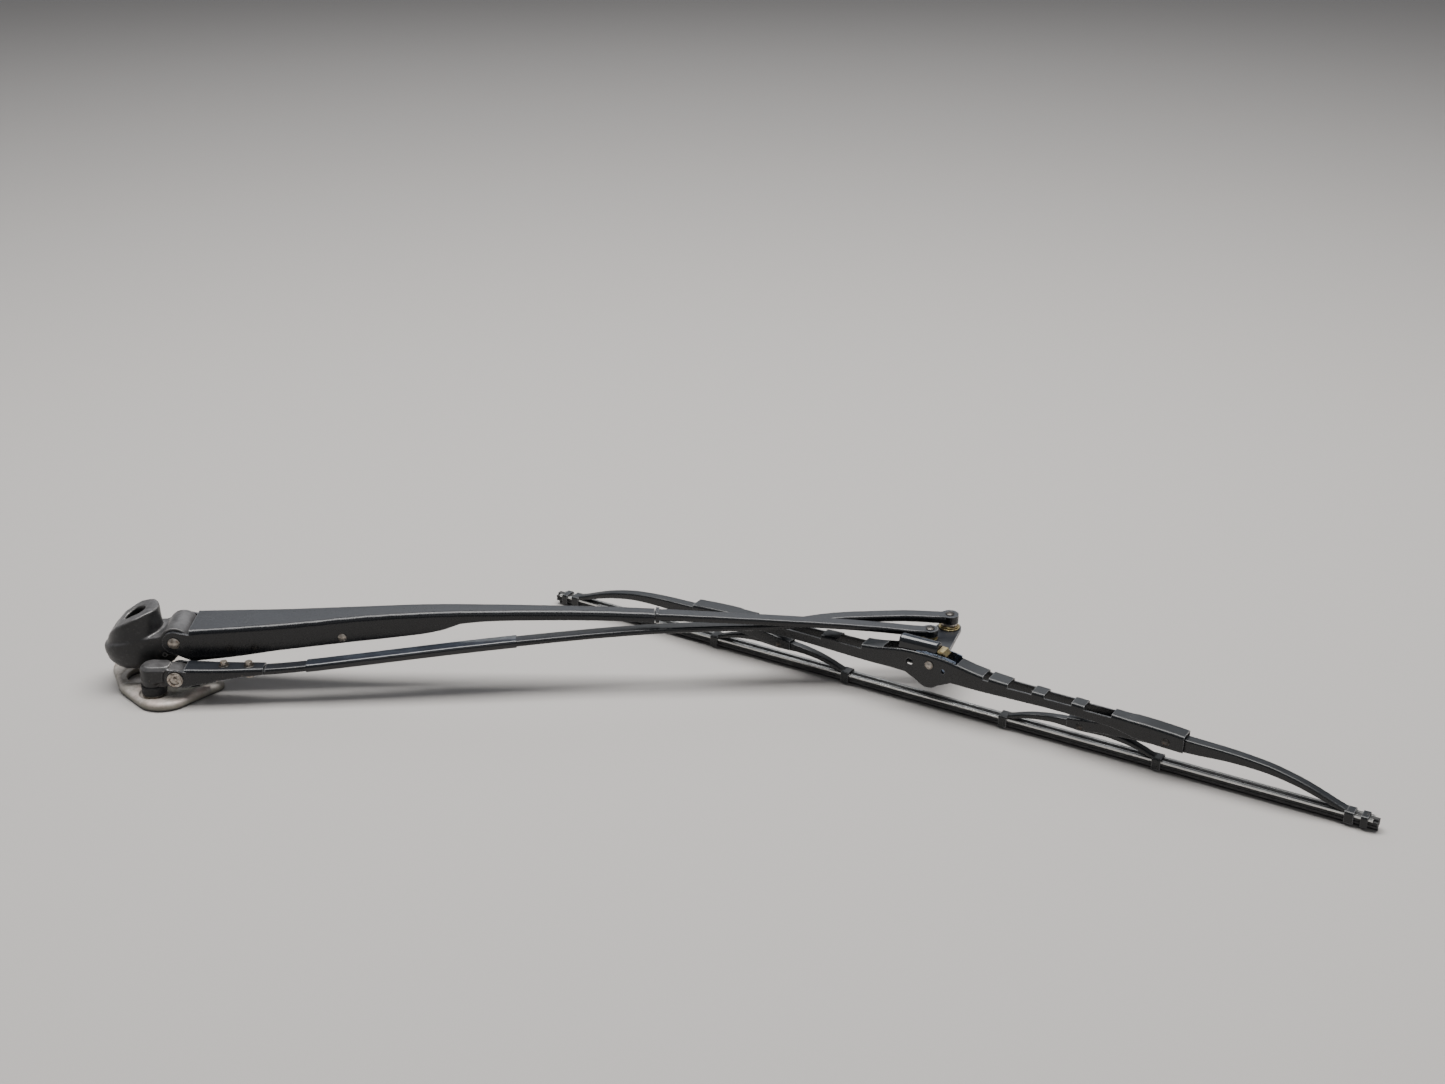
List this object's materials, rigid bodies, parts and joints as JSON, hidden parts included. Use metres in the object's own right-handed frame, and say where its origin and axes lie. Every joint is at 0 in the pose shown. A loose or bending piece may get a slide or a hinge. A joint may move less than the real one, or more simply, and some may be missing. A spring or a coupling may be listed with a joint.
{
  "type": "windshield wiper assembly",
  "caption": "Two-arm pantograph windshield wiper with cast heads, mounting plate, pressed main arm, control arm, coupler and a framed blade with rubber.",
  "frame": {"origin": "main spindle axis where it meets the plane of the mounting plate's underside and of the rubber lip", "axes": "+X along the main arm towards the blade, +Y towards the side the control arm's end pivot lies on, +Z away from the glass"},
  "size_m": [0.9392, 0.3622, 0.066],
  "materials": {
    "black_paint": "satin black paint with worn lighter top faces and chipped edges",
    "blade_paint": "dull black paint on pressed steel",
    "cast_black": "worn black paint on a cast surface",
    "cast_alloy": "raw stained casting",
    "bare_steel": "aged bare steel",
    "bright_steel": "bright stainless",
    "spring_steel": "oiled dark spring steel",
    "yellow_zinc": "yellow passivated zinc plating with rust",
    "bronze": "sintered bronze",
    "black_plastic": "glossy moulded plastic",
    "nylon": "dark matte nylon",
    "black_rubber": "matte rubber"
  },
  "bodies": {
    "mounting_plate": {"pivot_plate": "cast_alloy", "swivel_post": "bare_steel", "post_washer": "bare_steel"},
    "control_head": {"control_knuckle": "cast_black", "post_bush": "bronze", "dust_collar": "black_rubber"},
    "control_arm": {"control_fork": "black_paint", "fork_screws": "bare_steel", "fork_washers": "bright_steel", "control_hinge_rivet": "bare_steel", "control_bar": "black_paint", "control_sleeve": "black_plastic"},
    "coupler": {"coupler_plate": "black_paint", "far_pivot_discs": "yellow_zinc", "far_pivot_bush": "bare_steel", "near_pivot_bush": "yellow_zinc", "far_pivot_rivet": "bare_steel", "near_pivot_rivet": "bare_steel", "blade_side_pin": "bare_steel"},
    "main_arm": {"main_channel": "black_paint", "spring_pin": "bare_steel", "tension_spring": "spring_steel", "spring_link": "spring_steel", "main_bar": "black_paint", "crimp_band": "black_paint", "main_hinge_rivet": "bare_steel"},
    "arm_head": {"main_head": "cast_black", "spindle_insert": "yellow_zinc", "anchor_pin": "cast_black"},
    "blade": {"primary_bridge": "blade_paint", "adapter_block": "black_plastic", "adapter_bracket": "bright_steel", "adapter_clip": "yellow_zinc", "hood_rivets": "bright_steel", "hood_bushes": "nylon", "wiper_rubber": "black_rubber", "backing_rails": "bright_steel", "rail_end_stops": "blade_paint"},
    "left_bridge": {"secondary_left": "blade_paint", "yoke_rivet_left": "bright_steel"},
    "right_bridge": {"secondary_right": "blade_paint", "yoke_rivet_right": "bright_steel"},
    "left_yoke": {"yoke_left": "blade_paint"},
    "right_yoke": {"yoke_right": "blade_paint"}
  },
  "joints": [
    {"name": "arm_sweep", "type": "hinge", "parent": "mounting_plate", "child": "control_head", "pos_m": [0.017, -0.031, 0.014], "axis": [0, 0, 1], "range_deg": [-2, 30]},
    {"name": "arm_lift", "type": "hinge", "parent": "control_head", "child": "control_arm", "pos_m": [0.037, -0.031, 0.0225], "axis": [0, -1, 0], "range_deg": [0, 50]},
    {"name": "far_pivot", "type": "hinge", "parent": "control_arm", "child": "coupler", "pos_m": [0.6365, 0.02, 0.038], "axis": [0, 0, 1], "range_deg": [-3, 42]},
    {"name": "near_pivot", "type": "hinge", "parent": "coupler", "child": "main_arm", "pos_m": [0.619, 0, 0.038], "axis": [0, 0, 1], "range_deg": [-43, 3]},
    {"name": "main_head_hinge", "type": "hinge", "parent": "main_arm", "child": "arm_head", "pos_m": [0.033, 0, 0.043], "axis": [0, -1, 0], "range_deg": [-51, 1], "deforming": ["tension_spring", "spring_link"]},
    {"name": "blade_pitch", "type": "hinge", "parent": "coupler", "child": "blade", "pos_m": [0.61784, -0.04049, 0.039], "axis": [0.515, 0.8572, 0], "range_deg": [-20, 1]},
    {"name": "left_bridge_rock", "type": "hinge", "parent": "blade", "child": "left_bridge", "pos_m": [0.44727, 0.062, 0.0275], "axis": [0.515, 0.8572, 0], "range_deg": [-3, 3], "deforming": ["wiper_rubber", "backing_rails"]},
    {"name": "right_bridge_rock", "type": "hinge", "parent": "blade", "child": "right_bridge", "pos_m": [0.77813, -0.1368, 0.0275], "axis": [0.515, 0.8572, 0], "range_deg": [-3, 3]},
    {"name": "left_yoke_rock", "type": "hinge", "parent": "left_bridge", "child": "left_yoke", "pos_m": [0.50384, 0.02801, 0.0195], "axis": [0.515, 0.8572, 0], "range_deg": [-4, 4]},
    {"name": "right_yoke_rock", "type": "hinge", "parent": "right_bridge", "child": "right_yoke", "pos_m": [0.72156, -0.10281, 0.0195], "axis": [0.515, 0.8572, 0], "range_deg": [-4, 4]}
  ],
  "couplings": [
    {"joint": "far_pivot", "follows": "arm_sweep", "ratio": 1.3611},
    {"joint": "near_pivot", "follows": "arm_sweep", "ratio": -1.4006},
    {"joint": "main_head_hinge", "follows": "arm_lift", "ratio": -1}
  ]
}
